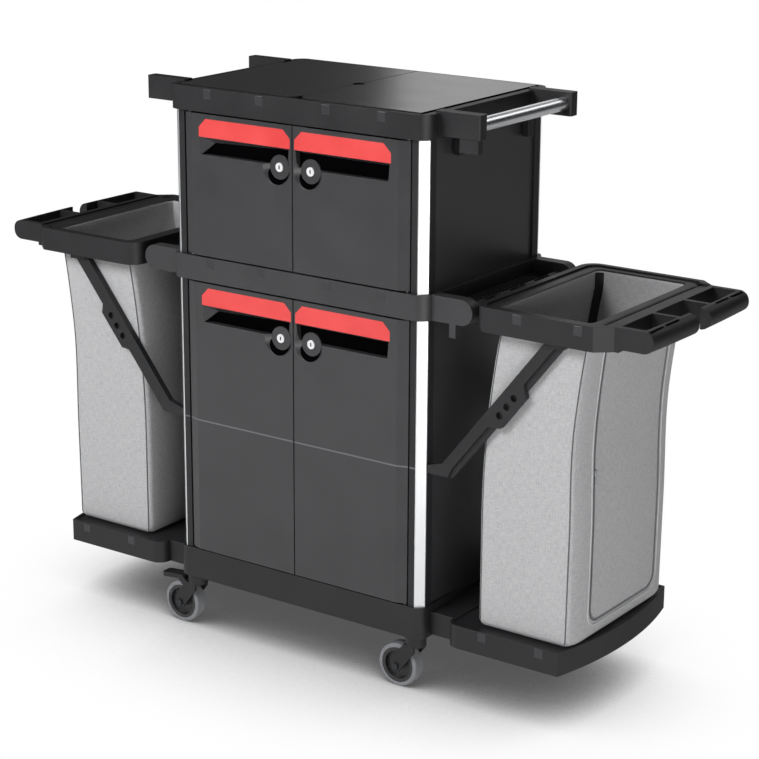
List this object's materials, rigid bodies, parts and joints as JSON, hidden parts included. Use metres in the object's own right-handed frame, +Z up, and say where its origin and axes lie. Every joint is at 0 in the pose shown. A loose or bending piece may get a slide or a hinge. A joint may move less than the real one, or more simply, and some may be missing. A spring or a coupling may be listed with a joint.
{
  "type": "housekeeping cart",
  "caption": "Closed housekeeping cart with locking doors in two storeys, lidded top deck, push bar, and a fold-up rim with a hanging fabric bag at each end, on swivel casters.",
  "frame": {"origin": "on the floor under the middle of the cart", "axes": "+X along the cart's length to the push bar end, +Y to the back, away from the doors, +Z up"},
  "size_m": [1.7538, 0.486, 1.294],
  "materials": {
    "frame_plastic": "fine matte texture, near-black",
    "panel_plastic": "satin charcoal",
    "grip_plastic": "satin coral red",
    "bright_aluminium": "bright anodised",
    "zinc_steel": "zinc plated",
    "tyre_rubber": "matte grey",
    "hub_plastic": "satin black",
    "bag_fabric": "light grey woven polyester"
  },
  "bodies": {
    "chassis": {"base_platform": "frame_plastic", "left_bag_tray": "frame_plastic", "right_bag_tray": "frame_plastic", "corner_posts": "frame_plastic", "corner_strips": "bright_aluminium", "upper_side_panels": "panel_plastic", "lower_side_panels": "panel_plastic", "back_panels": "panel_plastic", "cabinet_dividers": "panel_plastic", "lock_strikes": "zinc_steel", "mid_frame": "frame_plastic", "top_frame": "frame_plastic", "lid_hinge_pins": "zinc_steel", "push_bar": "bright_aluminium", "door_hinge_pins": "zinc_steel", "rim_hinge_rods": "zinc_steel"},
    "upper_left_door": {"upper_left_door": "panel_plastic", "upper_left_grip": "grip_plastic"},
    "upper_left_lock": {"upper_left_lock": "zinc_steel"},
    "upper_right_door": {"upper_right_door": "panel_plastic", "upper_right_grip": "grip_plastic"},
    "upper_right_lock": {"upper_right_lock": "zinc_steel"},
    "lower_left_door": {"lower_left_door": "panel_plastic", "lower_left_grip": "grip_plastic"},
    "lower_left_lock": {"lower_left_lock": "zinc_steel"},
    "lower_right_door": {"lower_right_door": "panel_plastic", "lower_right_grip": "grip_plastic"},
    "lower_right_lock": {"lower_right_lock": "zinc_steel"},
    "left_lid": {"left_lid": "frame_plastic"},
    "left_rim": {"left_bag_rim": "frame_plastic", "left_front_strut": "frame_plastic", "left_rear_strut": "frame_plastic", "left_bag": "bag_fabric"},
    "right_lid": {"right_lid": "frame_plastic"},
    "right_rim": {"right_bag_rim": "frame_plastic", "right_front_strut": "frame_plastic", "right_rear_strut": "frame_plastic", "right_bag": "bag_fabric"},
    "front_left_caster": {"front_left_fork": "frame_plastic", "front_left_axle": "zinc_steel"},
    "front_left_wheel": {"front_left_tyre": "tyre_rubber", "front_left_hub": "hub_plastic"},
    "front_left_brake": {"front_left_pedal": "frame_plastic"},
    "front_right_caster": {"front_right_fork": "frame_plastic", "front_right_axle": "zinc_steel"},
    "front_right_wheel": {"front_right_tyre": "tyre_rubber", "front_right_hub": "hub_plastic"},
    "rear_left_caster": {"rear_left_fork": "frame_plastic", "rear_left_axle": "zinc_steel"},
    "rear_left_wheel": {"rear_left_tyre": "tyre_rubber", "rear_left_hub": "hub_plastic"},
    "rear_left_brake": {"rear_left_pedal": "frame_plastic"},
    "rear_right_caster": {"rear_right_fork": "frame_plastic", "rear_right_axle": "zinc_steel"},
    "rear_right_wheel": {"rear_right_tyre": "tyre_rubber", "rear_right_hub": "hub_plastic"}
  },
  "joints": [
    {"name": "upper_left_door_swing", "type": "hinge", "parent": "chassis", "child": "upper_left_door", "pos_m": [-0.294, -0.229, 1.072], "axis": [0, 0, -1], "range_deg": [0, 100]},
    {"name": "upper_left_lock_turn", "type": "hinge", "parent": "upper_left_door", "child": "upper_left_lock", "pos_m": [-0.042, -0.224, 1.136], "axis": [0, -1, 0], "range_deg": [0, 90]},
    {"name": "upper_right_door_swing", "type": "hinge", "parent": "chassis", "child": "upper_right_door", "pos_m": [0.294, -0.229, 1.072], "axis": [0, 0, 1], "range_deg": [0, 100]},
    {"name": "upper_right_lock_turn", "type": "hinge", "parent": "upper_right_door", "child": "upper_right_lock", "pos_m": [0.042, -0.224, 1.136], "axis": [0, 1, 0], "range_deg": [0, 90]},
    {"name": "lower_left_door_swing", "type": "hinge", "parent": "chassis", "child": "lower_left_door", "pos_m": [-0.294, -0.229, 0.5265], "axis": [0, 0, -1], "range_deg": [0, 100]},
    {"name": "lower_left_lock_turn", "type": "hinge", "parent": "lower_left_door", "child": "lower_left_lock", "pos_m": [-0.042, -0.224, 0.752], "axis": [0, -1, 0], "range_deg": [0, 90]},
    {"name": "lower_right_door_swing", "type": "hinge", "parent": "chassis", "child": "lower_right_door", "pos_m": [0.294, -0.229, 0.5265], "axis": [0, 0, 1], "range_deg": [0, 100]},
    {"name": "lower_right_lock_turn", "type": "hinge", "parent": "lower_right_door", "child": "lower_right_lock", "pos_m": [0.042, -0.224, 0.752], "axis": [0, 1, 0], "range_deg": [0, 90]},
    {"name": "left_lid_lift", "type": "hinge", "parent": "chassis", "child": "left_lid", "pos_m": [-0.319, 0, 1.283], "axis": [0, -1, 0], "range_deg": [0, 90]},
    {"name": "left_rim_fold", "type": "hinge", "parent": "chassis", "child": "left_rim", "pos_m": [-0.421, 0, 0.88], "axis": [0, 1, 0], "range_deg": [0, 75], "deforming": ["left_bag"]},
    {"name": "right_lid_lift", "type": "hinge", "parent": "chassis", "child": "right_lid", "pos_m": [0.319, 0, 1.283], "axis": [0, 1, 0], "range_deg": [0, 90]},
    {"name": "right_rim_fold", "type": "hinge", "parent": "chassis", "child": "right_rim", "pos_m": [0.421, 0, 0.88], "axis": [0, -1, 0], "range_deg": [0, 75], "deforming": ["right_bag"]},
    {"name": "front_left_swivel", "type": "hinge", "parent": "chassis", "child": "front_left_caster", "pos_m": [-0.313, -0.212, 0.128], "axis": [0, 0, 1], "continuous": true},
    {"name": "front_left_roll", "type": "hinge", "parent": "front_left_caster", "child": "front_left_wheel", "pos_m": [-0.351, -0.212, 0.05], "axis": [0, 1, 0], "continuous": true},
    {"name": "front_left_brake_press", "type": "hinge", "parent": "front_left_caster", "child": "front_left_brake", "pos_m": [-0.346, -0.212, 0.112], "axis": [0, -1, 0], "range_deg": [0, 8]},
    {"name": "front_right_swivel", "type": "hinge", "parent": "chassis", "child": "front_right_caster", "pos_m": [0.313, -0.212, 0.128], "axis": [0, 0, 1], "continuous": true},
    {"name": "front_right_roll", "type": "hinge", "parent": "front_right_caster", "child": "front_right_wheel", "pos_m": [0.275, -0.212, 0.05], "axis": [0, 1, 0], "continuous": true},
    {"name": "rear_left_swivel", "type": "hinge", "parent": "chassis", "child": "rear_left_caster", "pos_m": [-0.313, 0.212, 0.128], "axis": [0, 0, 1], "continuous": true},
    {"name": "rear_left_roll", "type": "hinge", "parent": "rear_left_caster", "child": "rear_left_wheel", "pos_m": [-0.351, 0.212, 0.05], "axis": [0, 1, 0], "continuous": true},
    {"name": "rear_left_brake_press", "type": "hinge", "parent": "rear_left_caster", "child": "rear_left_brake", "pos_m": [-0.346, 0.212, 0.112], "axis": [0, -1, 0], "range_deg": [0, 8]},
    {"name": "rear_right_swivel", "type": "hinge", "parent": "chassis", "child": "rear_right_caster", "pos_m": [0.313, 0.212, 0.128], "axis": [0, 0, 1], "continuous": true},
    {"name": "rear_right_roll", "type": "hinge", "parent": "rear_right_caster", "child": "rear_right_wheel", "pos_m": [0.275, 0.212, 0.05], "axis": [0, 1, 0], "continuous": true}
  ]
}
